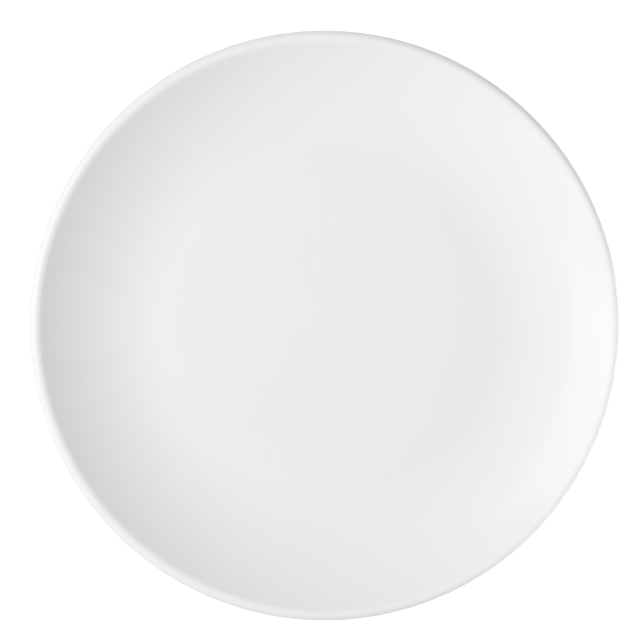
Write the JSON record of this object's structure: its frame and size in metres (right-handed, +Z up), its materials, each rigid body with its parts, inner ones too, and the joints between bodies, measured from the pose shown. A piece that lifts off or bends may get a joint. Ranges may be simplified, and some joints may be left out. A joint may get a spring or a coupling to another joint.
{
  "type": "coupe dinner plate",
  "caption": "Round white glazed porcelain coupe plate with a low crowned floor, a curved wall, a rolled lip and a bare foot ring.",
  "frame": {"origin": "centre of the foot ring's standing face, on the table", "axes": "+Z up along the plate's axis, from the foot ring towards the lip; X and Y lie in the table"},
  "size_m": [0.27, 0.27, 0.024],
  "materials": {
    "porcelain": "matte",
    "glaze": "gloss"
  },
  "bodies": {
    "root": {"porcelain_body": "porcelain", "outer_glaze": "glaze", "foot_well_glaze": "glaze"}
  },
  "joints": []
}
